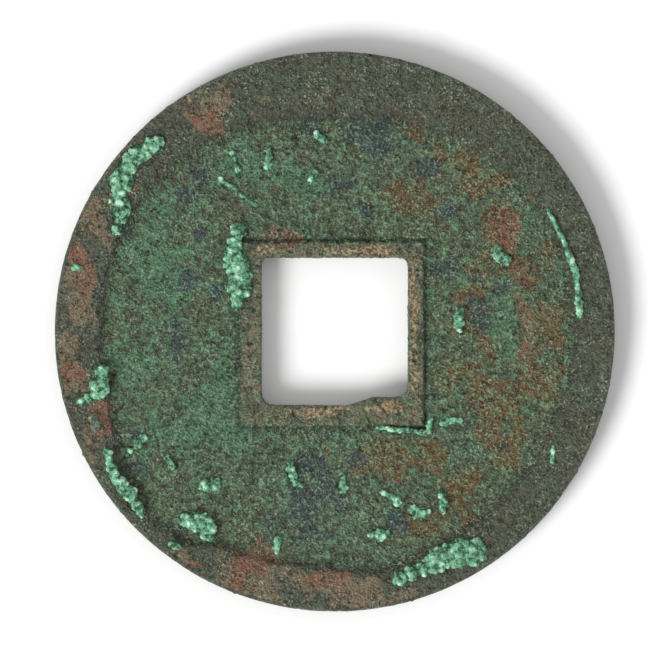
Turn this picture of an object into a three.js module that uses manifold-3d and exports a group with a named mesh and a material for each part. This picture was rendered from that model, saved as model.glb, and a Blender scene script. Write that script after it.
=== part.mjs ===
// A Chinese cash coin: a round cast bronze coin with a square hole, raised rims and crusts of green corrosion.
// Units are millimetres and +Z is up. The coin lies on its obverse with the plain reverse up.
// The origin is the coin's centre on the plane that it lies on. +Y is the top of the reverse, +X its right.
import * as THREE from "three";
import { mergeVertices } from "three/addons/utils/BufferGeometryUtils.js";
import Module from "manifold-3d";

const wasm = await Module();
wasm.setup();

// The casting
const COIN_DIAMETER = 24;
const RIM_THICKNESS = 1.4; // over both outer rims
const FIELD_THICKNESS = 0.85; // the plate between the two recessed fields
const RIM_SLOPE = 0.2; // run of the outer rim's inner wall
const EDGE_ROUND = 0.15; // worn corners of the coin's edge
const OBVERSE_RIM_WIDTH = 1.8;

// The flat top of the reverse's outer rim, which wear and a cold mould left uneven: [direction in degrees, width]
const REVERSE_RIM_WIDTHS = [
  [0, 1.45],
  [30, 1.45],
  [60, 1.8],
  [90, 2.1],
  [127, 1.75],
  [160, 1.75],
  [195, 1.75],
  [206, 1.4],
  [214, 0.75],
  [228, 0.6],
  [236, 0.8],
  [243, 1.5],
  [265, 1.7],
  [283, 1.35],
  [297, 1.6],
  [330, 1.6],
];

// The square hole, with the casting flash that the file left on the right half of its bottom edge
const HOLE_WIDTH = 6.25;
const HOLE_HEIGHT = 6.3;
const HOLE_CORNERS = { topLeft: 0.3, topRight: 0.4, bottomLeft: 0.6, bottomRight: 0.55 };
const FLASH_RISE = 0.35;
const FLASH_LENGTH = 2.6;
const FLASH_RAMP = 1.1;

// The inner rim around the hole: flat widths on its four sides, and its rise over the field
const INNER_RIM_WIDTHS = { left: 0.8, right: 0.6, top: 0.6, bottom: 0.8 };
const INNER_RIM_RISE = 0.2;
const INNER_RIM_SLOPE = 0.15;

// Where a crust climbs a rim it keeps this far from the rim's sloping wall
const CRUST_GAP = 0.3;

// Malachite crusts on the reverse. A path holds [direction in degrees, place, width]. Place 0 is the foot of
// the inner rim, 1 the foot of the outer rim and 2 the coin's edge. Rise is the height over what it sits on.
const CRUSTS = [
  {
    name: "crust_upper_left_rim",
    seat: "outer rim",
    rise: 0.28,
    path: [
      [134, 1.55, 0.75],
      [139, 1.66, 0.85],
      [144, 1.6, 1.0],
      [148, 1.4, 0.9],
      [151.5, 1.18, 0.7],
      [155, 1.12, 0.4],
    ],
  },
  {
    name: "crust_left_of_hole",
    seat: "inner rim",
    rise: 0.24,
    path: [
      [134, 0.11, 0.65],
      [140, 0.06, 0.8],
      [148, 0.0, 1.25],
      [157, 0.0, 0.85],
      [165, 0.01, 0.5],
    ],
  },
  {
    name: "crust_lower_right_rim",
    seat: "outer rim",
    rise: 0.28,
    path: [
      [276, 1.18, 0.5],
      [279, 1.3, 0.5],
      [282, 1.4, 0.6],
      [286, 1.3, 0.65],
      [291, 1.3, 0.75],
      [295, 1.3, 1.05],
      [299, 1.36, 1.45],
      [302, 1.52, 1.2],
    ],
  },
  {
    name: "crust_left_rim",
    seat: "outer rim",
    rise: 0.26,
    path: [
      [195.5, 1.62, 0.4],
      [194.5, 1.34, 0.55],
      [192.5, 1.1, 0.85],
      [190, 1.04, 0.7],
    ],
  },
  {
    name: "crust_lower_left_rim",
    seat: "outer rim",
    rise: 0.26,
    path: [
      [208, 1.35, 0.35],
      [211, 1.3, 0.42],
      [214.5, 1.25, 0.55],
      [217.5, 1.15, 0.6],
      [220.5, 1.12, 0.5],
      [223, 1.25, 0.35],
    ],
  },
  {
    name: "crust_lower_left_foot",
    seat: "field",
    rise: 0.32,
    path: [
      [232, 0.86, 0.75],
      [236, 0.82, 0.9],
      [238, 0.9, 0.6],
    ],
  },
  {
    name: "crust_lower_left_field",
    seat: "field",
    rise: 0.26,
    path: [
      [230, 0.56, 0.7],
      [232, 0.53, 0.65],
    ],
  },
  {
    name: "crust_right_field_lump",
    seat: "field",
    rise: 0.28,
    path: [
      [26, 0.57, 0.55],
      [23, 0.6, 0.65],
    ],
  },
  {
    name: "crust_right_rim_vein",
    seat: "outer rim",
    rise: 0.16,
    path: [
      [30, 1.1, 0.24],
      [23, 1.1, 0.28],
      [17, 1.14, 0.34],
      [11, 1.14, 0.32],
      [3.5, 1.1, 0.34],
    ],
  },
  {
    name: "crust_upper_left_vein",
    seat: "field",
    rise: 0.13,
    path: [
      [127, 0.63, 0.26],
      [125, 0.5, 0.24],
      [122, 0.33, 0.26],
    ],
  },
  {
    name: "crust_below_hole_vein",
    seat: "inner rim",
    rise: 0.1,
    path: [
      [294, 0.0, 0.22],
      [302, 0.02, 0.24],
      [308, 0.04, 0.24],
      [313, 0.05, 0.26],
      [317, 0.06, 0.26],
    ],
  },
  {
    name: "crust_left_rim_speck",
    seat: "outer rim",
    rise: 0.14,
    path: [
      [166, 1.72, 0.38],
      [166, 1.62, 0.38],
    ],
  },
  {
    name: "crust_lower_left_edge_speck",
    seat: "outer rim",
    rise: 0.16,
    path: [
      [232.5, 1.46, 0.34],
      [234, 1.4, 0.36],
    ],
  },
  {
    name: "crust_left_rim_deposit",
    seat: "outer rim",
    rise: 0.12,
    path: [
      [200, 1.45, 0.5],
      [201.5, 1.42, 0.5],
    ],
  },
  {
    name: "crust_top_field_left",
    seat: "field",
    rise: 0.16,
    path: [
      [120, 0.75, 0.28],
      [122, 0.61, 0.28],
    ],
  },
  {
    name: "crust_top_field_middle",
    seat: "field",
    rise: 0.16,
    path: [
      [110, 0.71, 0.3],
      [112, 0.6, 0.28],
    ],
  },
  {
    name: "crust_top_field_high",
    seat: "field",
    rise: 0.18,
    path: [
      [95, 0.78, 0.34],
      [93, 0.74, 0.36],
    ],
  },
  {
    name: "crust_top_field_low",
    seat: "field",
    rise: 0.15,
    path: [
      [97, 0.5, 0.32],
      [99, 0.44, 0.28],
    ],
  },
  {
    name: "crust_right_field_low",
    seat: "field",
    rise: 0.18,
    path: [
      [10, 0.23, 0.38],
      [2, 0.22, 0.38],
    ],
  },
  {
    name: "crust_left_field_foot",
    seat: "field",
    rise: 0.18,
    path: [
      [210, 0.9, 0.34],
      [209, 0.8, 0.4],
    ],
  },
  {
    name: "crust_left_field_low",
    seat: "field",
    rise: 0.17,
    path: [
      [217, 0.66, 0.36],
      [220, 0.64, 0.34],
    ],
  },
  {
    name: "crust_bottom_field_high",
    seat: "field",
    rise: 0.16,
    path: [
      [251, 0.28, 0.34],
      [254, 0.37, 0.38],
      [258, 0.43, 0.36],
    ],
  },
  {
    name: "crust_bottom_field_middle",
    seat: "field",
    rise: 0.16,
    path: [
      [273, 0.36, 0.34],
      [273, 0.44, 0.34],
    ],
  },
  {
    name: "crust_bottom_field_foot",
    seat: "field",
    rise: 0.16,
    path: [
      [255, 0.82, 0.3],
      [255, 0.91, 0.3],
    ],
  },
  {
    name: "crust_lower_right_field_high",
    seat: "field",
    rise: 0.22,
    path: [
      [303.5, 0.65, 0.38],
      [301.5, 0.76, 0.46],
    ],
  },
  {
    name: "crust_lower_right_field_middle",
    seat: "field",
    rise: 0.18,
    path: [
      [293, 0.66, 0.42],
      [295, 0.71, 0.56],
      [297, 0.74, 0.42],
    ],
  },
  {
    name: "crust_lower_right_field_left",
    seat: "field",
    rise: 0.16,
    path: [
      [287, 0.48, 0.34],
      [290, 0.56, 0.38],
    ],
  },
  {
    name: "crust_lower_right_field_low",
    seat: "field",
    rise: 0.18,
    path: [
      [280, 0.75, 0.46],
      [283, 0.76, 0.5],
    ],
  },
  {
    name: "crust_right_of_hole_low",
    seat: "field",
    rise: 0.15,
    path: [
      [320.5, 0.2, 0.34],
      [324, 0.32, 0.34],
    ],
  },
  {
    name: "crust_right_rim_low_vein",
    seat: "outer rim",
    rise: 0.1,
    path: [
      [332, 1.22, 0.24],
      [329, 1.36, 0.24],
    ],
  },
];

// How finely curves are drawn, and how lumpy a crust grows
const TURN_STEPS = 96;
const CORNER_STEPS = 4;
const MOUND_SIDES = 9;
const MOUND_LIP = 0.3; // height of a lump's blunt edge, of its rise
const MOUND_SHOULDER = 0.68; // of its radius
const MOUND_SPACING = 0.42; // of the crust's width
const MOUND_UNEVENNESS = 0.14;
const CUT_PAST = 1; // how far a cutting shape runs past what it cuts

const COIN_RADIUS = COIN_DIAMETER / 2;
const FIELD_TOP = (RIM_THICKNESS + FIELD_THICKNESS) / 2;
const SEAT_LEVELS = {
  "outer rim": RIM_THICKNESS,
  "inner rim": FIELD_TOP + INNER_RIM_RISE,
  field: FIELD_TOP,
};

// Shapes

// A closed geometry as a solid that can be cut and joined.
function solidOf(geometry) {
  const bare = geometry.index ? geometry.toNonIndexed() : geometry.clone();
  bare.deleteAttribute("normal");
  bare.deleteAttribute("uv");
  const merged = mergeVertices(bare, 1e-5);
  const mesh = new wasm.Mesh({
    numProp: 3,
    vertProperties: merged.attributes.position.array,
    triVerts: new Uint32Array(merged.index.array),
  });
  return new wasm.Manifold(mesh);
}

// A solid as a geometry to draw.
function geometryOf(solid) {
  const mesh = solid.getMesh();
  const geometry = new THREE.BufferGeometry();
  geometry.setAttribute("position", new THREE.BufferAttribute(mesh.vertProperties, 3));
  geometry.setIndex(new THREE.BufferAttribute(mesh.triVerts, 1));
  geometry.computeVertexNormals();
  return geometry;
}

// A solid between two outlines of the same number of points, one at each level. Both turn counterclockwise.
function loft(lowOutline, lowZ, highOutline, highZ) {
  const count = lowOutline.length;
  const positions = [];
  lowOutline.forEach((p) => positions.push(p.x, p.y, lowZ));
  highOutline.forEach((p) => positions.push(p.x, p.y, highZ));
  const faces = [];
  for (let i = 0; i < count; i++) {
    const next = (i + 1) % count;
    faces.push(i, next, count + next, i, count + next, count + i);
  }
  THREE.ShapeUtils.triangulateShape(lowOutline, []).forEach(([a, b, c]) => faces.push(c, b, a));
  THREE.ShapeUtils.triangulateShape(highOutline, []).forEach(([a, b, c]) =>
    faces.push(count + a, count + b, count + c),
  );
  const geometry = new THREE.BufferGeometry();
  geometry.setAttribute("position", new THREE.Float32BufferAttribute(positions, 3));
  geometry.setIndex(faces);
  return solidOf(geometry);
}

// The round blank: a lathe turning with worn corners, closed on the axis.
function blank() {
  const profile = [new THREE.Vector2(0, 0)];
  [0, 1].forEach((upper) => {
    const centreY = upper ? RIM_THICKNESS - EDGE_ROUND : EDGE_ROUND;
    for (let i = 0; i <= CORNER_STEPS; i++) {
      const angle = (Math.PI / 2) * (i / CORNER_STEPS - 1 + upper);
      const x = COIN_RADIUS - EDGE_ROUND + EDGE_ROUND * Math.cos(angle);
      profile.push(new THREE.Vector2(x, centreY + EDGE_ROUND * Math.sin(angle)));
    }
  });
  profile.push(new THREE.Vector2(0, RIM_THICKNESS));
  return solidOf(new THREE.LatheGeometry(profile, TURN_STEPS).rotateX(Math.PI / 2));
}

// Width of the reverse rim's flat top in a direction, eased between the measured ones.
function reverseRimWidth(degrees) {
  const turned = ((degrees % 360) + 360) % 360;
  const after = REVERSE_RIM_WIDTHS.findIndex(([direction]) => direction > turned);
  const count = REVERSE_RIM_WIDTHS.length;
  const [from, low] = REVERSE_RIM_WIDTHS[after < 0 ? count - 1 : after - 1];
  const [to, high] = after < 0 ? [360, REVERSE_RIM_WIDTHS[0][1]] : REVERSE_RIM_WIDTHS[after];
  return THREE.MathUtils.lerp(low, high, THREE.MathUtils.smoothstep(turned, from, to));
}

const reverseFootRadius = (degrees) => COIN_RADIUS - reverseRimWidth(degrees) - RIM_SLOPE;
const obverseFootRadius = () => COIN_RADIUS - OBVERSE_RIM_WIDTH - RIM_SLOPE;

// An outline whose radius is given for each direction.
function roundOutline(radiusAt) {
  return Array.from({ length: TURN_STEPS }, (_, i) => {
    const angle = (i / TURN_STEPS) * Math.PI * 2;
    const radius = radiusAt(THREE.MathUtils.radToDeg(angle));
    return new THREE.Vector2(radius * Math.cos(angle), radius * Math.sin(angle));
  });
}

// The recess of one face, from its field out through the rim's sloping wall and past the rim's top.
function recess(footRadiusAt, fieldZ, outward, inset) {
  const depth = (RIM_THICKNESS - FIELD_THICKNESS) / 2;
  const reach = depth + CUT_PAST;
  const foot = roundOutline((direction) => footRadiusAt(direction) - inset);
  const mouth = roundOutline((direction) => footRadiusAt(direction) - inset + (RIM_SLOPE * reach) / depth);
  return outward > 0
    ? loft(foot, fieldZ, mouth, fieldZ + reach)
    : loft(mouth, fieldZ - reach, foot, fieldZ);
}

// The outline of the square hole, with its four worn corners and the ramp up to the casting flash.
function holeShape() {
  const right = HOLE_WIDTH / 2;
  const top = HOLE_HEIGHT / 2;
  const { topLeft, topRight, bottomLeft, bottomRight } = HOLE_CORNERS;
  const flashY = FLASH_RISE - top;
  const shape = new THREE.Shape();
  shape.moveTo(bottomLeft - right, -top);
  shape.lineTo(right - FLASH_LENGTH, -top);
  shape.lineTo(right - FLASH_LENGTH + FLASH_RAMP, flashY);
  shape.lineTo(right - bottomRight, flashY);
  shape.quadraticCurveTo(right, flashY, right, flashY + bottomRight);
  shape.lineTo(right, top - topRight);
  shape.quadraticCurveTo(right, top, right - topRight, top);
  shape.lineTo(topLeft - right, top);
  shape.quadraticCurveTo(-right, top, -right, top - topLeft);
  shape.lineTo(-right, bottomLeft - top);
  shape.quadraticCurveTo(-right, -top, bottomLeft - right, -top);
  return shape;
}

function holeCutter() {
  const depth = RIM_THICKNESS + 2 * CUT_PAST;
  const geometry = new THREE.ExtrudeGeometry(holeShape(), {
    depth,
    bevelEnabled: false,
    curveSegments: CORNER_STEPS,
  });
  return solidOf(geometry.translate(0, 0, -CUT_PAST));
}

// The inner rim's outer outline, spread sideways by its slope or by a gap.
function innerRimOutline(spread) {
  const { left, right, top, bottom } = INNER_RIM_WIDTHS;
  const x = [-HOLE_WIDTH / 2 - left - spread, HOLE_WIDTH / 2 + right + spread];
  const y = [-HOLE_HEIGHT / 2 - bottom - spread, HOLE_HEIGHT / 2 + top + spread];
  return [
    new THREE.Vector2(x[0], y[0]),
    new THREE.Vector2(x[1], y[0]),
    new THREE.Vector2(x[1], y[1]),
    new THREE.Vector2(x[0], y[1]),
  ];
}

// The inner rims of both faces as one block through the coin's plate.
function innerRims(spread) {
  const flat = innerRimOutline(spread);
  const foot = innerRimOutline(spread + INNER_RIM_SLOPE);
  const obverseField = (RIM_THICKNESS - FIELD_THICKNESS) / 2;
  const middle = RIM_THICKNESS / 2;
  const upper = loft(foot, FIELD_TOP, flat, FIELD_TOP + INNER_RIM_RISE);
  const lower = loft(flat, obverseField - INNER_RIM_RISE, foot, obverseField);
  const core = loft(foot, middle - FIELD_THICKNESS / 2, foot, middle + FIELD_THICKNESS / 2);
  return upper.add(core).add(lower);
}

// The whole casting. With a gap, its rims' walls stand out by that much, which is what a crust is cut with.
function casting(gap) {
  const obverseField = (RIM_THICKNESS - FIELD_THICKNESS) / 2;
  return blank()
    .subtract(recess(reverseFootRadius, FIELD_TOP, 1, gap))
    .subtract(recess(obverseFootRadius, obverseField, -1, gap))
    .add(innerRims(gap))
    .subtract(holeCutter());
}

// Distance from the centre to the inner rim's foot in a direction.
function innerRimReach(angle) {
  const [low, , high] = innerRimOutline(INNER_RIM_SLOPE);
  const x = Math.cos(angle);
  const y = Math.sin(angle);
  const alongX = (x < 0 ? low.x : high.x) / (x || Number.MIN_VALUE);
  const alongY = (y < 0 ? low.y : high.y) / (y || Number.MIN_VALUE);
  return Math.min(Math.abs(alongX), Math.abs(alongY));
}

// A crust path's point in the plane of the coin, with the crust's width there as its third number.
function crustPoint([degrees, place, width]) {
  const angle = THREE.MathUtils.degToRad(degrees);
  const foot = reverseFootRadius(degrees);
  const radius =
    place < 1
      ? THREE.MathUtils.lerp(innerRimReach(angle), foot, place)
      : THREE.MathUtils.lerp(foot, COIN_RADIUS, place - 1);
  return new THREE.Vector3(radius * Math.cos(angle), radius * Math.sin(angle), width);
}

// One rounded lump of a crust, which starts inside the casting and is cut to its surface later.
function mound(centre, radius, seatZ, rise) {
  const rootZ = FIELD_TOP - FIELD_THICKNESS / 2;
  const profile = [
    new THREE.Vector2(0, rootZ),
    new THREE.Vector2(radius, rootZ),
    new THREE.Vector2(radius, seatZ + rise * MOUND_LIP),
    new THREE.Vector2(radius * MOUND_SHOULDER, seatZ + rise * 0.8),
    new THREE.Vector2(0, seatZ + rise),
  ];
  const geometry = new THREE.LatheGeometry(profile, MOUND_SIDES).rotateX(Math.PI / 2);
  return solidOf(geometry.translate(centre.x, centre.y, 0));
}

// The largest body of a solid, without the slivers that a cut along a slope can leave.
function largestBody(solid) {
  return solid.decompose().sort((a, b) => b.volume() - a.volume())[0];
}

// A crust: lumps of uneven size along its path, joined, and cut to lie on the casting.
function crust({ seat, rise, path }, seatCut) {
  const spine = new THREE.CatmullRomCurve3(path.map(crustPoint), false, "centripetal");
  const widest = Math.max(...path.map(([, , width]) => width));
  const count = Math.max(2, Math.round(spine.getLength() / (widest * MOUND_SPACING)) + 1);
  let grown = null;
  for (let i = 0; i < count; i++) {
    const point = spine.getPointAt(i / (count - 1));
    const swell = 1 + MOUND_UNEVENNESS * Math.sin(i * 2.4 + path[0][0]);
    const lump = mound(point, (point.z / 2) * swell, SEAT_LEVELS[seat], rise * swell);
    grown = grown ? grown.add(lump) : lump;
  }
  return largestBody(grown.subtract(seatCut));
}

// Materials and assembly

const bronze = new THREE.MeshStandardMaterial({ color: 0x4f5242, roughness: 0.75, metalness: 0.35 });
const malachite = new THREE.MeshStandardMaterial({ color: 0x5fa884, roughness: 0.9, metalness: 0 });

function part(name, solid, material) {
  const mesh = new THREE.Mesh(geometryOf(solid), material);
  mesh.name = name;
  return mesh;
}

const coin = new THREE.Group();
coin.add(part("coin_casting", casting(0), bronze));
const seatCut = casting(CRUST_GAP);
CRUSTS.forEach((row) => coin.add(part(row.name, crust(row, seatCut), malachite)));

export default coin;
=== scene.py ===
# %% [markdown]
# # A Chinese cash coin
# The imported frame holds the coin's casting and its corrosion crusts as plain solids. Here each of them
# gets its real surface: the casting its waves, lumps and pits, and each crust its grown, granular skin.
# The frame is in metres and the coin lies flat, with its plain reverse up.

# %%
# The frame and its size
import math

import bpy
import numpy as np
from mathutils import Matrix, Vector, noise
from mathutils.bvhtree import BVHTree


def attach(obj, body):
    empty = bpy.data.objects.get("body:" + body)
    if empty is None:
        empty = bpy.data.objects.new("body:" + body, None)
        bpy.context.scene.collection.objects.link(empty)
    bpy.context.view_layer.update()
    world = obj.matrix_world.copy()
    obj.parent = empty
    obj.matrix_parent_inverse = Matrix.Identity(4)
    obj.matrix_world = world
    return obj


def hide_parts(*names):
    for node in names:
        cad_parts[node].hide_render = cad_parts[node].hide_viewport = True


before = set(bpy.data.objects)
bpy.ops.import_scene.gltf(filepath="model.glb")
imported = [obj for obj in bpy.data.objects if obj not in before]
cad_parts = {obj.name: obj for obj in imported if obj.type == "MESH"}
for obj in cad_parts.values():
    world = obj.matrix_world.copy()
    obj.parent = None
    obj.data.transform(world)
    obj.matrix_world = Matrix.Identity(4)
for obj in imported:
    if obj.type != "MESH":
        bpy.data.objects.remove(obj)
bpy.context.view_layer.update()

MM = 0.001
print("nodes:", len(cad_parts))

# %% [markdown]
# ## Helpers for node trees
# A shader or a Geometry Nodes tree is built by small functions, one for each kind of step.


# %%
# Node helpers
def tone(red, green, blue):
    """A colour given in ordinary 0 to 255 values, as the linear values that a shader takes."""
    linear = []
    for value in (red, green, blue):
        share = value / 255
        linear.append(share / 12.92 if share <= 0.04045 else ((share + 0.055) / 1.055) ** 2.4)
    return (*linear, 1.0)


class Tree:
    """A node tree with short calls to add a node and to link it."""

    def __init__(self, tree):
        self.tree = tree

    def feed(self, socket, value):
        """Links a socket to another one, or sets its own value."""
        if isinstance(value, bpy.types.NodeSocket):
            self.tree.links.new(value, socket)
        elif value is not None:
            socket.default_value = value

    def node(self, kind, inputs=(), **settings):
        """Adds a node, with its settings, and its inputs by name or by number."""
        made = self.tree.nodes.new(kind)
        for name, value in settings.items():
            setattr(made, name, value)
        for key, value in dict(inputs).items():
            self.feed(made.inputs[key], value)
        return made

    def math(self, operation, first, second=None):
        made = self.node("ShaderNodeMath", {0: first, 1: second}, operation=operation)
        return made.outputs[0]

    def vector(self, operation, first, second=None):
        made = self.node("ShaderNodeVectorMath", {0: first}, operation=operation)
        key = "Scale" if operation == "SCALE" else 1
        self.feed(made.inputs[key], second)
        return made.outputs[0]

    def noise(self, place, scale, detail=4.0, roughness=0.55, w=0.0):
        inputs = {"Vector": place, "W": w, "Scale": scale, "Detail": detail, "Roughness": roughness}
        made = self.node("ShaderNodeTexNoise", inputs, noise_dimensions="4D")
        return made.outputs[0]

    def ramp(self, value, low, high, start=0.0, end=1.0):
        """A smooth step of a value from low to high."""
        inputs = {"Value": value, "From Min": low, "From Max": high, "To Min": start, "To Max": end}
        made = self.node("ShaderNodeMapRange", inputs, interpolation_type="SMOOTHSTEP")
        return made.outputs[0]

    def mix(self, factor, first, second):
        made = self.node("ShaderNodeMix", data_type="RGBA")
        self.feed(made.inputs[0], factor)
        self.feed(made.inputs[6], first)
        self.feed(made.inputs[7], second)
        return made.outputs[2]


# %% [markdown]
# ## The casting's spokes
# The casting is measured on its own solid. Along each spoke from the middle, rays from above and from
# below find where the hole ends, where the inner rim's top and foot lie, and where the outer rim
# starts.

# %%
# Measure the casting along its spokes
SPOKES = 720
RAY_STEP = 0.02  # mm
RAY_REACH = 12.0  # mm, up to the edge
LEVEL_SLACK = 0.012  # mm, within which a point counts as on a level
RAY_START = 10.0  # mm, well clear of the coin
INNER_RIM_WITHIN = 6.9  # mm from the middle, past the inner rim's corners
OUTER_RIM_BEYOND = 9.0  # mm from the middle, inside the outer rim's top
SURE_RAY = 2  # counted from the hole's edge, a ray that lies on the inner rim's top
LOW_RAY = 5  # counted from the lowest in the middle stretch, a level that is the field's

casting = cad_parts["coin_casting"]
casting_mesh = casting.data
points = [casting.matrix_world @ vertex.co / MM for vertex in casting_mesh.vertices]
casting_tree = BVHTree.FromPolygons(points, [tuple(p.vertices) for p in casting_mesh.polygons])
COIN_RADIUS = max(math.hypot(p.x, p.y) for p in points)
THICKNESS = max(p.z for p in points)


def profile_levels(side, angle):
    """The heights met along one spoke: [(distance, z)], from above (side 1) or from below (side -1)."""
    met = []
    for k in range(int(RAY_REACH / RAY_STEP) + 1):
        distance = k * RAY_STEP
        start = Vector((distance * math.cos(angle), distance * math.sin(angle), RAY_START * side))
        hit = casting_tree.ray_cast(start, Vector((0, 0, -side)))
        if hit[0] is not None:
            met.append((distance, hit[0].z))
    return met


def breaks_of(side):
    """For each spoke: the hole's edge, the inner rim's top end and foot, the outer rim's foot and top."""
    rows = []
    for i in range(SPOKES):
        angle = 2 * math.pi * i / SPOKES
        met = profile_levels(side, angle)
        levels = [z * side for _, z in met]
        rim_top = THICKNESS if side > 0 else 0.0
        inner_top = levels[SURE_RAY]
        middle_stretch = levels[len(levels) // 5 : -len(levels) // 4]
        field = sorted(middle_stretch)[LOW_RAY]
        along = [(distance, z) for (distance, _), z in zip(met, levels)]
        on_inner = [d for d, z in along if d < INNER_RIM_WITHIN and z > inner_top - LEVEL_SLACK]
        on_field = [d for d, z in along if z < field + LEVEL_SLACK]
        on_rim = [d for d, z in along if d > OUTER_RIM_BEYOND and z > rim_top - LEVEL_SLACK]
        rows.append((met[0][0], max(on_inner), min(on_field), max(on_field), min(on_rim)))
    return np.array(rows), abs(field), abs(inner_top)


upper_breaks, UPPER_FIELD, UPPER_INNER = breaks_of(1)
lower_breaks, LOWER_FIELD, LOWER_INNER = breaks_of(-1)
print("upper field and inner rim, mm:", round(UPPER_FIELD, 3), round(UPPER_INNER, 3))
print("mean breaks, mm:", upper_breaks.mean(axis=0).round(2), lower_breaks.mean(axis=0).round(2))

# %% [markdown]
# ## The casting's base mesh
# One closed skin runs from the hole over the reverse, round the edge, back under the obverse and up the
# hole's wall. Its rows follow the rims, so that their edges stay crisp, and worn where the photograph
# shows them worn: the outer rim fades into the field at the top of the coin.

# %%
# Build the closed base mesh
UPPER_ROWS = (9, 5, 44, 7, 14)
LOWER_ROWS = (4, 3, 16, 4, 6)
EDGE_ROWS = 5
EDGE_ROUND = 0.17  # mm
WEAR_TOP = 0.85  # mm of extra slope where the rim fades, around the top of the coin
WEAR_ALL = 0.3  # mm of it everywhere
WEAR_DIRECTION = 88  # degrees, the middle of the faded stretch
WEAR_SPREAD = 34  # degrees
INNER_FOOT_RUN = 0.06  # mm that the inner rim's foot is drawn out
RIM_TOP_RUN = 0.08  # mm that the outer rim's shoulder is drawn out
HOLE_ROUND = 0.09  # mm
HOLE_ROWS = 5


def ease(t):
    return t * t * (3 - 2 * t)


def worn(angle):
    """How far the outer rim's slope runs into the field in a direction."""
    degrees = math.degrees(angle) % 360
    top = math.exp(-(((degrees - WEAR_DIRECTION) / WEAR_SPREAD) ** 2))
    return WEAR_ALL + WEAR_TOP * top


def spoke_rows(breaks, rows, inner_z, field_z, rim_z, wear):
    """Distances and heights from the hole's edge out to the start of the edge's round."""
    hole, inner_top, inner_foot, foot, rim_top = breaks
    field_start = inner_foot + INNER_FOOT_RUN
    field_end = foot - wear
    rim_start = rim_top + RIM_TOP_RUN
    stations = [
        (hole + HOLE_ROUND, inner_top, inner_z, inner_z),
        (inner_top, field_start, inner_z, field_z),
        (field_start, field_end, field_z, field_z),
        (field_end, rim_start, field_z, rim_z),
        (rim_start, COIN_RADIUS - EDGE_ROUND, rim_z, rim_z),
    ]
    made = []
    for count, (start, end, from_z, to_z) in zip(rows, stations):
        for k in range(count):
            t = k / count
            made.append((start + (end - start) * t, from_z + (to_z - from_z) * ease(t)))
    made.append((COIN_RADIUS - EDGE_ROUND, rim_z))
    return made


def casting_loop(i):
    """The closed section of the coin on one spoke, as (distance, z): over the top, back underneath."""
    angle = 2 * math.pi * i / SPOKES
    upper = spoke_rows(upper_breaks[i], UPPER_ROWS, UPPER_INNER, UPPER_FIELD, THICKNESS, worn(angle))
    lower = spoke_rows(lower_breaks[i], LOWER_ROWS, LOWER_INNER, LOWER_FIELD, 0.0, WEAR_ALL)
    edge = []
    for k in range(1, 2 * EDGE_ROWS):
        t = k / (2 * EDGE_ROWS)
        turn = math.pi / 2 - math.pi * t
        centre_z = THICKNESS - EDGE_ROUND if t < 0.5 else EDGE_ROUND
        distance = COIN_RADIUS - EDGE_ROUND + EDGE_ROUND * math.cos(turn)
        edge.append((distance, centre_z + EDGE_ROUND * math.sin(turn)))
    hole = upper_breaks[i][0]
    wall_height = UPPER_INNER - LOWER_INNER - 2 * HOLE_ROUND
    wall = []
    for k in range(HOLE_ROWS + 1):
        wall.append((hole, LOWER_INNER + HOLE_ROUND + wall_height * k / HOLE_ROWS))
    return upper + edge + lower[::-1] + wall


sections = [casting_loop(i) for i in range(SPOKES)]
per_loop = len(sections[0])
vertices = []
for i, section in enumerate(sections):
    angle = 2 * math.pi * i / SPOKES
    for distance, z in section:
        vertices.append((distance * math.cos(angle) * MM, distance * math.sin(angle) * MM, z * MM))
faces = []
for i in range(SPOKES):
    here = i * per_loop
    after = ((i + 1) % SPOKES) * per_loop
    for k in range(per_loop):
        k_next = (k + 1) % per_loop
        faces.append((here + k, here + k_next, after + k_next, after + k))
base = bpy.data.meshes.new("coin base")
base.from_pydata(vertices, [], faces)
base.update()
print("base mesh:", len(vertices), "points,", 2 * len(faces), "triangles, rows per spoke", per_loop)

# %% [markdown]
# ## Where the patina changes
# The reverse was looked over patch by patch. Each row places one patch: the middle in mm, and how far it
# reaches each way. Their borders are broken up, so no patch keeps an oval outline.

# %%
# Patches of patina
CUPRITE = [
    (-10.7, 3.0, 0.5, 1.2),
    (-2.1, 4.0, 1.0, 0.45),
    (-3.6, -10.1, 0.9, 0.8),
    (-5.6, -10.1, 0.5, 0.35),
    (-0.3, -10.5, 1.0, 0.35),
    (-10.9, -1.6, 0.8, 0.5),
    (-10.2, -3.7, 0.7, 0.7),
    (-6.0, 9.1, 0.3, 0.3),
    (-5.0, 9.0, 0.5, 0.5),
    (-8.8, 6.1, 0.3, 0.3),
    (7.6, 4.4, 0.7, 1.6),
    (8.0, 1.0, 0.5, 1.6),
]
BLUE_GREY = [
    (1.7, 8.5, 0.8, 0.8),
    (-1.0, 8.8, 0.5, 0.4),
    (4.0, 6.9, 0.6, 0.5),
    (5.0, 5.3, 0.6, 0.6),
    (0.2, 6.4, 0.6, 0.5),
    (1.3, 5.1, 0.35, 0.4),
    (-5.9, 6.8, 0.6, 0.6),
    (-6.5, 5.9, 0.4, 0.4),
    (-1.3, -7.4, 1.3, 1.6),
    (0.7, -5.4, 0.7, 0.35),
    (2.6, -8.3, 0.4, 0.5),
    (-6.9, -8.4, 0.5, 0.4),
    (-8.6, -4.4, 0.6, 0.35),
    (-8.3, -6.0, 0.4, 0.3),
    (-5.1, 1.6, 0.35, 0.35),
    (-5.9, 4.2, 0.4, 0.45),
    (-6.2, 2.3, 0.4, 0.5),
    (-6.7, -0.2, 0.4, 0.9),
    (4.7, 2.5, 0.6, 0.6),
    (7.3, 2.0, 0.5, 0.4),
    (6.1, 0.6, 0.45, 0.9),
]
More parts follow.
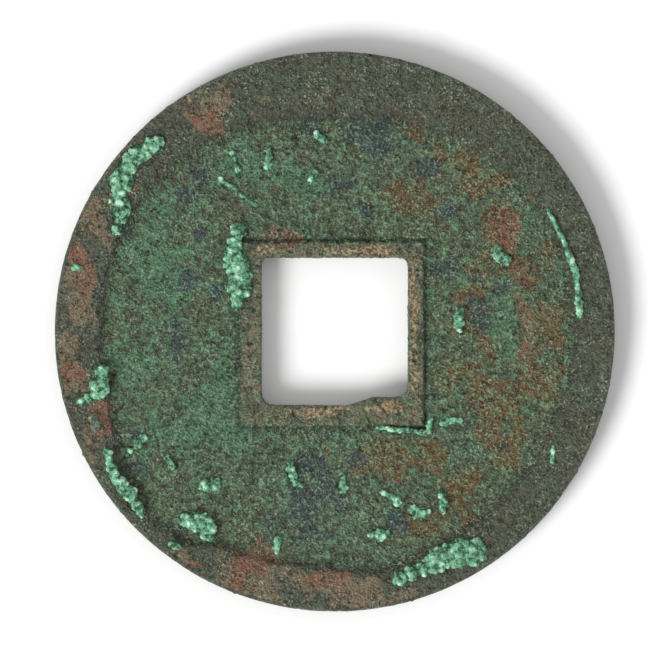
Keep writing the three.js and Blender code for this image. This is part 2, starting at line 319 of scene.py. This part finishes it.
BROWN = [
    (3.4, 9.1, 1.6, 0.7),
    (5.4, 7.6, 1.1, 1.1),
    (6.4, 6.2, 0.9, 1.2),
    (7.3, 4.6, 1.1, 1.3),
    (8.1, 2.4, 1.2, 1.5),
    (8.6, 0.2, 1.2, 1.4),
    (8.2, -2.2, 1.3, 1.5),
    (7.2, -4.6, 1.3, 1.4),
    (5.6, -6.4, 1.3, 1.2),
    (2.6, -5.4, 2.2, 1.0),
    (4.6, -8.0, 1.3, 0.8),
    (6.0, 0.0, 1.2, 3.6),
    (3.4, 6.0, 1.6, 1.0),
]
GREEN = [
    (-7.6, 3.0, 1.9, 3.0),
    (-8.4, -1.4, 1.4, 1.4),
    (-5.0, -2.0, 0.9, 2.0),
    (7.5, 0.5, 1.0, 1.7),
    (-1.1, 6.3, 0.8, 0.8),
    (-6.0, -4.6, 1.8, 1.4),
    (-3.6, 7.0, 1.4, 1.0),
]
TAN = [
    (-3.6, -10.7, 3.0, 1.0),
    (0.8, -11.2, 2.4, 0.7),
    (-11.1, 2.2, 0.8, 3.2),
    (-11.2, -1.6, 0.8, 1.8),
    (-10.0, 5.2, 0.7, 1.4),
    (-5.4, 9.6, 1.8, 0.9),
    (-10.6, -4.6, 0.6, 1.0),
]
BARE_BRONZE = [
    (-2.8, 3.5, 0.35, 0.25),
    (-0.5, -3.5, 1.0, 0.2),
    (1.5, -3.3, 1.2, 0.25),
    (3.4, 0.2, 0.25, 2.9),
    (1.0, 3.45, 2.2, 0.16),
]
PATCH_FULL = 0.25  # of a patch's reach, within which it is at its full strength
PATCH_END = 1.5  # of its reach, where it has faded out
BORDER_SCALE = 0.8  # 1/mm, how fine the borders' unevenness is
BORDER_ROUGHNESS = 1.2  # of a patch's reach
BORDER_SLICE = 3.1  # where the borders' noise is cut
INNER_SHADE_ROWS = 3  # how many rows the painted shade reaches from the inner rim's foot
OUTER_SHADE_ROWS = 4  # and from the outer rim's foot
OUTER_SHADE_STRENGTH = 0.55  # its strength there


def patch_strength(x, y, patches, rough):
    """How strongly a point lies in one of the patches, 0 to 1, with a border broken up by rough."""
    strongest = 0.0
    for centre_x, centre_y, reach_x, reach_y in patches:
        away = math.hypot((x - centre_x) / reach_x, (y - centre_y) / reach_y) - rough
        if away < PATCH_END:
            share = (away - PATCH_FULL) / (PATCH_END - PATCH_FULL)
            strongest = max(strongest, 1 - ease(min(max(share, 0.0), 1.0)))
    return strongest


marks = {
    "cuprite": CUPRITE,
    "blue_grey": BLUE_GREY,
    "brown": BROWN,
    "green": GREEN,
    "tan": TAN,
    "bare": BARE_BRONZE,
}
values = {name: np.zeros(len(vertices), dtype=np.float32) for name in marks}
rim_zone = np.zeros(len(vertices), dtype=np.float32)
inner_zone = np.zeros(len(vertices), dtype=np.float32)
painted_foot_shade = np.zeros(len(vertices), dtype=np.float32)
INNER_FOOT_ROW = UPPER_ROWS[0] + UPPER_ROWS[1] - 1
OUTER_FOOT_ROW = sum(UPPER_ROWS[:3]) + 2
UPPER_COUNT = sum(UPPER_ROWS) + 1
RIM_START_ROW = sum(UPPER_ROWS[:3]) + UPPER_ROWS[3] // 2
RIM_END_ROW = per_loop - HOLE_ROWS - LOWER_ROWS[0] - 2  # the underside's field looks like the rim too
INNER_END_ROW = UPPER_ROWS[0] + 1
INNER_START_ROW = per_loop - HOLE_ROWS - UPPER_ROWS[0] // 2
for i in range(SPOKES):
    for k in range(per_loop):
        n = i * per_loop + k
        if RIM_START_ROW <= k < RIM_END_ROW:
            rim_zone[n] = 1.0
        if k <= INNER_END_ROW or k >= INNER_START_ROW:
            inner_zone[n] = 1.0
        if k < UPPER_COUNT:
            # Painted shade along the feet of the inner and outer rims, standing in for their shadows
            inner_shade = 1 - abs(k - INNER_FOOT_ROW) / INNER_SHADE_ROWS
            outer_shade = OUTER_SHADE_STRENGTH * (1 - abs(k - OUTER_FOOT_ROW) / OUTER_SHADE_ROWS)
            painted_foot_shade[n] = max(0.0, inner_shade, outer_shade)
            x = vertices[n][0] / MM
            y = vertices[n][1] / MM
            spot = Vector((BORDER_SCALE * x, BORDER_SCALE * y, BORDER_SLICE))
            rough = BORDER_ROUGHNESS * noise.fractal(spot, 0.8, 2.0, 5)
            for name, patches in marks.items():
                values[name][n] = patch_strength(x, y, patches, rough)
for name, numbers in values.items():
    base.attributes.new(name, "FLOAT", "POINT").data.foreach_set("value", numbers)
base.attributes.new("rim", "FLOAT", "POINT").data.foreach_set("value", rim_zone)
base.attributes.new("painted_foot_shade", "FLOAT", "POINT").data.foreach_set("value", painted_foot_shade)
base.attributes.new("inner_rim", "FLOAT", "POINT").data.foreach_set("value", inner_zone)
print("patch cover:", {name: round(float(numbers.mean()), 3) for name, numbers in values.items()})

# %% [markdown]
# ## The patina
# Brown, green, blue-grey and red oxides lie over the bronze. The patches steer them, and noise mixes
# them.


# %%
# The patina's material
def patina(name):
    material = bpy.data.materials.new(name)
    material.use_nodes = True
    tree = Tree(material.node_tree)
    shader = material.node_tree.nodes["Principled BSDF"]
    place = tree.node("ShaderNodeTexCoord").outputs["Object"]
    place = tree.vector("SCALE", place, 1 / MM)

    def mark(key):
        return tree.node("ShaderNodeAttribute", attribute_name=key).outputs["Fac"]

    broad = tree.noise(place, 0.45, 5.0, 0.6, 1.0)
    middle = tree.noise(place, 1.7, 6.0, 0.7, 2.0)
    mottle = tree.noise(place, 3.6, 5.0, 0.7, 6.0)
    fine = tree.noise(place, 6.0, 2.0, 0.6, 3.0)
    grain = tree.noise(place, 10.5, 1.0, 0.5, 4.0)
    uneven = tree.math("ADD", tree.math("MULTIPLY", middle, 1.3), tree.math("MULTIPLY", mottle, 0.9))

    def patch(key, most):
        """The patch's share, eaten into by noise, and at most the one given."""
        marked = tree.math("MULTIPLY", mark(key), 1.1)
        strength = tree.math("ADD", marked, tree.math("SUBTRACT", uneven, 1.5))
        return tree.ramp(strength, -0.05, 0.6, 0.0, most)

    def without(share, most):
        """One minus a share of something."""
        return tree.math("SUBTRACT", 1.0, tree.math("MULTIPLY", share, most))

    rim = mark("rim")
    ground = tree.mix(tree.ramp(broad, 0.38, 0.62), tone(80, 84, 62), tone(74, 88, 70))
    colour = tree.mix(patch("brown", 0.95), ground, tone(98, 74, 44))
    colour = tree.mix(patch("green", 0.85), colour, tone(74, 108, 82))
    on_rim = tree.math("MULTIPLY", rim, 0.75)
    on_brown = tree.math("MULTIPLY", mark("brown"), 0.6)
    barren = tree.math("MAXIMUM", on_rim, on_brown)
    greening = tree.ramp(mottle, 0.5, 0.62, 0.0, 0.75)
    greening = tree.math("MULTIPLY", greening, tree.math("SUBTRACT", 1.0, barren))
    colour = tree.mix(greening, colour, tone(84, 122, 90))
    rims = tree.mix(tree.ramp(middle, 0.42, 0.6), tone(74, 80, 68), tone(74, 68, 56))
    colour = tree.mix(tree.math("MULTIPLY", rim, 0.85), colour, rims)
    inner = tree.mix(tree.ramp(middle, 0.4, 0.6), tone(118, 104, 84), tone(86, 90, 72))
    colour = tree.mix(tree.math("MULTIPLY", mark("inner_rim"), 0.8), colour, inner)
    colour = tree.mix(patch("tan", 0.85), colour, tone(120, 104, 84))
    colour = tree.mix(patch("blue_grey", 0.9), colour, tone(54, 64, 68))
    lump = tree.math("MULTIPLY", mark("lump"), tree.ramp(rim, 0.0, 1.0, 0.75, 0.2))
    colour = tree.mix(lump, colour, tone(88, 128, 98))
    colour = tree.mix(patch("cuprite", 0.75), colour, tone(124, 84, 66))
    worn_through = tree.math("MULTIPLY", patch("bare", 1.0), tree.ramp(fine, 0.44, 0.58))
    colour = tree.mix(worn_through, colour, tone(178, 142, 108))
    hollow = tree.ramp(mottle, 0.49, 0.37, 0.0, 0.85)
    colour = tree.mix(hollow, colour, tone(42, 48, 40))
    open_field = without(rim, 0.7)
    raised = tree.ramp(mottle, 0.54, 0.66, 0.0, 0.6)
    colour = tree.mix(tree.math("MULTIPLY", raised, open_field), colour, tone(112, 142, 112))
    # Painted shade: a dark colour in the feet of both rims, where their shadows fall
    painted_shade = tree.math("MULTIPLY", mark("painted_foot_shade"), tree.ramp(middle, 0.3, 0.6, 0.4, 0.8))
    colour = tree.mix(painted_shade, colour, tone(34, 38, 30))
    specks = tree.ramp(fine, 0.55, 0.66, 0.0, 0.6)
    colour = tree.mix(tree.math("MULTIPLY", specks, open_field), colour, tone(122, 162, 130))
    dark = tree.ramp(tree.math("MINIMUM", grain, fine), 0.42, 0.3, 0.0, 0.75)
    colour = tree.mix(dark, colour, tone(26, 32, 28))
    # Pale flecks on the grain's crests: partly pale mineral bits, partly painted glints
    clusters = tree.noise(place, 1.3, 3.0, 0.6, 8.0)
    clusters = tree.ramp(clusters, 0.42, 0.62, 0.25, 1.0)
    pale = tree.math("MULTIPLY", tree.ramp(grain, 0.56, 0.7, 0.0, 0.65), clusters)
    colour = tree.mix(pale, colour, tone(168, 176, 152))
    lift = {"Color": colour, "Value": 1.3, "Saturation": 1.05}
    lifted = tree.node("ShaderNodeHueSaturation", lift).outputs[0]
    tree.feed(shader.inputs["Base Color"], lifted)
    shader.inputs["Metallic"].default_value = 0.1
    shader.inputs["Roughness"].default_value = 0.4
    relief = tree.math("ADD", tree.math("MULTIPLY", fine, 0.8), tree.math("MULTIPLY", grain, 0.45))
    relief = tree.math("ADD", relief, mottle)
    bump = tree.node("ShaderNodeBump", {"Strength": 1.0, "Distance": 0.3 * MM, "Height": relief})
    tree.feed(shader.inputs["Normal"], bump.outputs[0])
    return material


def crust_material(name, crest, body, hollow):
    """A corrosion crust: pale on the crests that its growth stored, dark in the hollows."""
    material = bpy.data.materials.new(name)
    material.use_nodes = True
    tree = Tree(material.node_tree)
    shader = material.node_tree.nodes["Principled BSDF"]
    place = tree.vector("SCALE", tree.node("ShaderNodeTexCoord").outputs["Object"], 1 / MM)
    height = tree.node("ShaderNodeAttribute", attribute_name="crest").outputs["Fac"]
    grain = tree.noise(place, 12.0, 3.0, 0.65, 5.0)
    mixed = tree.math("ADD", height, tree.math("MULTIPLY", tree.math("SUBTRACT", grain, 0.5), 0.9))
    colour = tree.mix(tree.ramp(mixed, 0.3, 0.52), hollow, body)
    colour = tree.mix(tree.ramp(mixed, 0.56, 0.8), colour, crest)
    tree.feed(shader.inputs["Base Color"], colour)
    shader.inputs["Roughness"].default_value = 0.7
    bump = tree.node("ShaderNodeBump", {"Strength": 0.8, "Distance": 0.07 * MM, "Height": grain})
    tree.feed(shader.inputs["Normal"], bump.outputs[0])
    return material


patina_material = patina("dark patina")
malachite_material = crust_material(
    "malachite", crest=tone(190, 232, 206), body=tone(112, 172, 134), hollow=tone(42, 76, 58)
)
deposit_material = crust_material(
    "pale deposit", crest=tone(150, 164, 146), body=tone(106, 122, 106), hollow=tone(56, 64, 54)
)
print("materials:", [m.name for m in (patina_material, malachite_material, deposit_material)])

# %% [markdown]
# ## The corroded surface
# A Geometry Nodes tree moves the skin along its normal: slow waves from the mould, corrosion lumps, and
# pits. Its sizes are inputs in mm.


# %%
# The tree for the casting's surface
def group(name, sizes, objects=()):
    """A new Geometry Nodes tree with a geometry in and out, and one number input for each size."""
    tree = bpy.data.node_groups.new(name, "GeometryNodeTree")
    face = tree.interface
    face.new_socket("Geometry", in_out="INPUT", socket_type="NodeSocketGeometry")
    for key, value in sizes.items():
        face.new_socket(key, in_out="INPUT", socket_type="NodeSocketFloat").default_value = value
    for key in objects:
        face.new_socket(key, in_out="INPUT", socket_type="NodeSocketObject")
    face.new_socket("Material", in_out="INPUT", socket_type="NodeSocketMaterial")
    face.new_socket("Geometry", in_out="OUTPUT", socket_type="NodeSocketGeometry")
    made = Tree(tree)
    start = made.node("NodeGroupInput")
    end = made.node("NodeGroupOutput")
    return made, start.outputs, end.inputs[0]


def finish_tree(made, geometry, material, end):
    """Smooth shading, Realize Instances and Set Material at the end of a tree."""
    smooth = made.node("GeometryNodeSetShadeSmooth", {"Geometry": geometry}).outputs[0]
    real = made.node("GeometryNodeRealizeInstances", {"Geometry": smooth}).outputs[0]
    painted = made.node("GeometryNodeSetMaterial", {"Geometry": real, "Material": material}).outputs[0]
    made.feed(end, painted)


def live_socket(sockets, kind):
    """The socket of a kind that a node uses, where it keeps others hidden for other data types."""
    return next(socket for socket in sockets if socket.type == kind and socket.enabled)


def surface_tree():
    sizes = {"Wave height": 0.15, "Lump height": 0.15, "Pit depth": 0.13, "Seed": 7.0}
    made, start, end = group("Corroded surface", sizes)
    place = made.vector("SCALE", made.node("GeometryNodeInputPosition").outputs[0], 1 / MM)
    waves = made.math("SUBTRACT", made.noise(place, 0.5, 3.0, 0.5, start["Seed"]), 0.5)
    lumps = made.ramp(made.noise(place, 2.3, 5.0, 0.65, start["Seed"]), 0.53, 0.72)
    pits = made.ramp(made.noise(place, 3.1, 4.0, 0.6, start["Seed"]), 0.46, 0.3)
    height = made.math("MULTIPLY", waves, start["Wave height"])
    height = made.math("ADD", height, made.math("MULTIPLY", lumps, start["Lump height"]))
    height = made.math("SUBTRACT", height, made.math("MULTIPLY", pits, start["Pit depth"]))
    outward = made.node("GeometryNodeInputNormal").outputs[0]
    upright = made.math("ABSOLUTE", made.node("ShaderNodeSeparateXYZ", {0: outward}).outputs[2])
    height = made.math("MULTIPLY", height, made.ramp(upright, 0.2, 0.9, 0.25, 1.0))
    offset = made.vector("SCALE", outward, made.math("MULTIPLY", height, MM))
    stored = made.node("GeometryNodeStoreNamedAttribute", data_type="FLOAT", domain="POINT")
    made.feed(stored.inputs["Geometry"], start["Geometry"])
    made.feed(stored.inputs["Name"], "lump")
    made.feed(live_socket(stored.inputs, "VALUE"), lumps)
    moved = made.node("GeometryNodeSetPosition", {"Geometry": stored.outputs[0], "Offset": offset})
    finish_tree(made, moved.outputs[0], start["Material"], end)
    return made.tree


def grown(name, tree, mesh, inputs):
    """The tree's result on a mesh, as a plain object."""
    seed = bpy.data.objects.new(name + " seed", mesh)
    bpy.context.scene.collection.objects.link(seed)
    modifier = seed.modifiers.new("growth", "NODES")
    modifier.node_group = tree
    for item in tree.interface.items_tree:
        if item.item_type == "SOCKET" and item.in_out == "INPUT" and item.name in inputs:
            modifier[item.identifier] = inputs[item.name]
    graph = bpy.context.evaluated_depsgraph_get()
    evaluated = seed.evaluated_get(graph)
    result = bpy.data.meshes.new_from_object(
        evaluated, preserve_all_data_layers=True, depsgraph=graph
    )
    bpy.data.objects.remove(seed)
    result.name = name
    made = bpy.data.objects.new(name, result)
    bpy.context.scene.collection.objects.link(made)
    return made


coin = grown("cast_coin", surface_tree(), base, {"Material": patina_material})
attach(coin, "root")
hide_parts("coin_casting")
print("cast_coin:", len(coin.data.polygons), "faces")
print("cast_coin, in mm:", [round(d / MM, 2) for d in coin.dimensions])

# %% [markdown]
# ## The crusts
# Each crust starts from its own solid. The tree turns it into one body of small voxels, wanders its
# outline, and grows grains on it. Each grain's height is stored for the material.


# %%
# The tree for a crust, and one crust for each node
def crust_tree():
    sizes = {"Voxel": 0.035, "Wander": 0.2, "Grain": 0.1, "Seed": 1.0}
    made, start, end = group("Grown crust", sizes, ("Solid",))
    source = made.node("GeometryNodeObjectInfo", {"Object": start["Solid"]}, transform_space="RELATIVE")
    solid = source.outputs["Geometry"]
    large = made.node("GeometryNodeTransform", {"Geometry": solid, "Scale": (1 / MM,) * 3})
    volume = made.node("GeometryNodeMeshToVolume", {"Mesh": large.outputs[0], "Density": 1.0})
    volume.resolution_mode = "VOXEL_SIZE"
    made.feed(volume.inputs["Voxel Size"], start["Voxel"])
    made.feed(volume.inputs["Interior Band Width"], 0.2)
    skin = made.node("GeometryNodeVolumeToMesh", {"Volume": volume.outputs[0], "Threshold": 0.1})
    place = made.node("GeometryNodeInputPosition").outputs[0]
    soft = made.node("GeometryNodeBlurAttribute", data_type="FLOAT_VECTOR")
    made.feed(live_socket(soft.inputs, "VECTOR"), place)
    made.feed(soft.inputs["Iterations"], 3)
    softened = live_socket(soft.outputs, "VECTOR")
    calm = made.node("GeometryNodeSetPosition", {"Geometry": skin.outputs[0], "Position": softened})
    inputs = {"Vector": place, "W": start["Seed"], "Scale": 2.6, "Detail": 5.0, "Roughness": 0.7}
    drift = made.node("ShaderNodeTexNoise", inputs, noise_dimensions="4D").outputs[1]
    drift = made.vector("SUBTRACT", drift, (0.5, 0.5, 0.5))
    drift = made.vector("MULTIPLY", drift, (1.0, 1.0, 0.15))
    drift = made.vector("SCALE", drift, start["Wander"])
    wandered = made.node("GeometryNodeSetPosition", {"Geometry": calm.outputs[0], "Offset": drift})
    cells = {"Vector": place, "W": start["Seed"], "Scale": 3.6}
    cell = made.node("ShaderNodeTexVoronoi", cells, voronoi_dimensions="4D").outputs["Distance"]
    rough = made.noise(place, 4.2, 4.0, 0.65, start["Seed"])
    domes = made.math("MULTIPLY", made.ramp(cell, 0.75, 0.1), 0.4)
    crest = made.math("ADD", domes, made.math("MULTIPLY", rough, 0.95))
    crest = made.math("SUBTRACT", crest, 0.1)
    stored = made.node("GeometryNodeStoreNamedAttribute", data_type="FLOAT", domain="POINT")
    made.feed(stored.inputs["Geometry"], wandered.outputs[0])
    made.feed(stored.inputs["Name"], "crest")
    made.feed(live_socket(stored.inputs, "VALUE"), crest)
    outward = made.node("GeometryNodeInputNormal").outputs[0]
    facing = made.node("ShaderNodeSeparateXYZ", {0: outward}).outputs[2]
    push = made.math("MULTIPLY", made.math("SUBTRACT", crest, 0.45), made.ramp(facing, -0.4, 0.3))
    offset = made.vector("SCALE", outward, made.math("MULTIPLY", push, start["Grain"]))
    grainy = made.node("GeometryNodeSetPosition", {"Geometry": stored.outputs[0], "Offset": offset})
    small = made.node("GeometryNodeTransform", {"Geometry": grainy.outputs[0], "Scale": (MM,) * 3})
    finish_tree(made, small.outputs[0], start["Material"], end)
    return made.tree


crusts = crust_tree()
THIN = ("vein", "speck", "deposit")
GRAIN = {"thin": 0.1, "thick": 0.26}  # mm, how far the grains stand out
WANDER = {"thin": 0.3, "thick": 0.6}  # mm, how far the outline strays
crust_names = sorted(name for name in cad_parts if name.startswith("crust_"))
for number, name in enumerate(crust_names):
    deposit = name.endswith("deposit")
    build = "thin" if any(word in name for word in THIN) else "thick"
    inputs = {
        "Solid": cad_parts[name],
        "Seed": float(number + 1),
        "Grain": GRAIN[build],
        "Wander": WANDER[build],
        "Material": deposit_material if deposit else malachite_material,
    }
    piece = grown("grown_" + name, crusts, bpy.data.meshes.new(name + " start"), inputs)
    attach(piece, "root")
    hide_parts(name)
    print(piece.name, len(piece.data.polygons), "faces")

# %% [markdown]
# ## Floor, light and camera
# The coin lies on white paper. The main light comes from the lower left, about 40 degrees up, as its
# shadows show, and the camera looks straight down through a long lens.

# %%
# Floor, light and camera
PHOTO_PIXELS = 665
PIXELS_PER_MM = 23.3
COIN_AT = (334.7, 331.5)  # the coin's centre in the picture
CAMERA_HEIGHT = 0.6  # m
SENSOR = 36.0  # mm

scene = bpy.context.scene
scene.view_settings.view_transform = "Standard"

PAPER_HALF = 0.4  # m
floor_mesh = bpy.data.meshes.new("paper_sheet")
floor_corners = [(x * PAPER_HALF, y * PAPER_HALF, 0) for x, y in ((-1, -1), (1, -1), (1, 1), (-1, 1))]
floor_mesh.from_pydata(floor_corners, [], [(0, 1, 2, 3)])
floor = bpy.data.objects.new("paper_sheet", floor_mesh)
scene.collection.objects.link(floor)
paper = bpy.data.materials.new("white_paper")
paper.use_nodes = True
paper_shader = paper.node_tree.nodes["Principled BSDF"]
paper_shader.inputs["Base Color"].default_value = (0.96, 0.96, 0.96, 1)
paper_shader.inputs["Roughness"].default_value = 0.9
floor_mesh.materials.append(paper)

world = bpy.data.worlds.new("studio")
scene.world = world
world.use_nodes = True
SKY_STRENGTH = 0.62
background = world.node_tree.nodes["Background"]
background.inputs["Color"].default_value = (1.0, 1.0, 1.0, 1)
background.inputs["Strength"].default_value = SKY_STRENGTH

LIGHT_DIRECTION = Vector((0.62, 0.55, -0.72))
LIGHT_STRENGTH = 2.7
LIGHT_SPREAD = 26  # degrees, which softens the shadows
sun = bpy.data.lights.new("window", "SUN")
sun.energy = LIGHT_STRENGTH
sun.angle = math.radians(LIGHT_SPREAD)
sun_object = bpy.data.objects.new("window", sun)
sun_object.rotation_euler = LIGHT_DIRECTION.to_track_quat("-Z", "Y").to_euler()
scene.collection.objects.link(sun_object)

camera = bpy.data.cameras.new("camera")
camera.sensor_width = SENSOR
camera.lens = SENSOR * CAMERA_HEIGHT / (PHOTO_PIXELS / PIXELS_PER_MM * MM)
camera.clip_end = 10
camera_object = bpy.data.objects.new("camera", camera)
middle_pixel = PHOTO_PIXELS / 2
camera_x = (middle_pixel - COIN_AT[0]) / PIXELS_PER_MM * MM
camera_y = (COIN_AT[1] - middle_pixel) / PIXELS_PER_MM * MM
camera_object.location = (camera_x, camera_y, CAMERA_HEIGHT)
scene.collection.objects.link(camera_object)
scene.camera = camera_object
print("lens in mm:", round(camera.lens, 1))
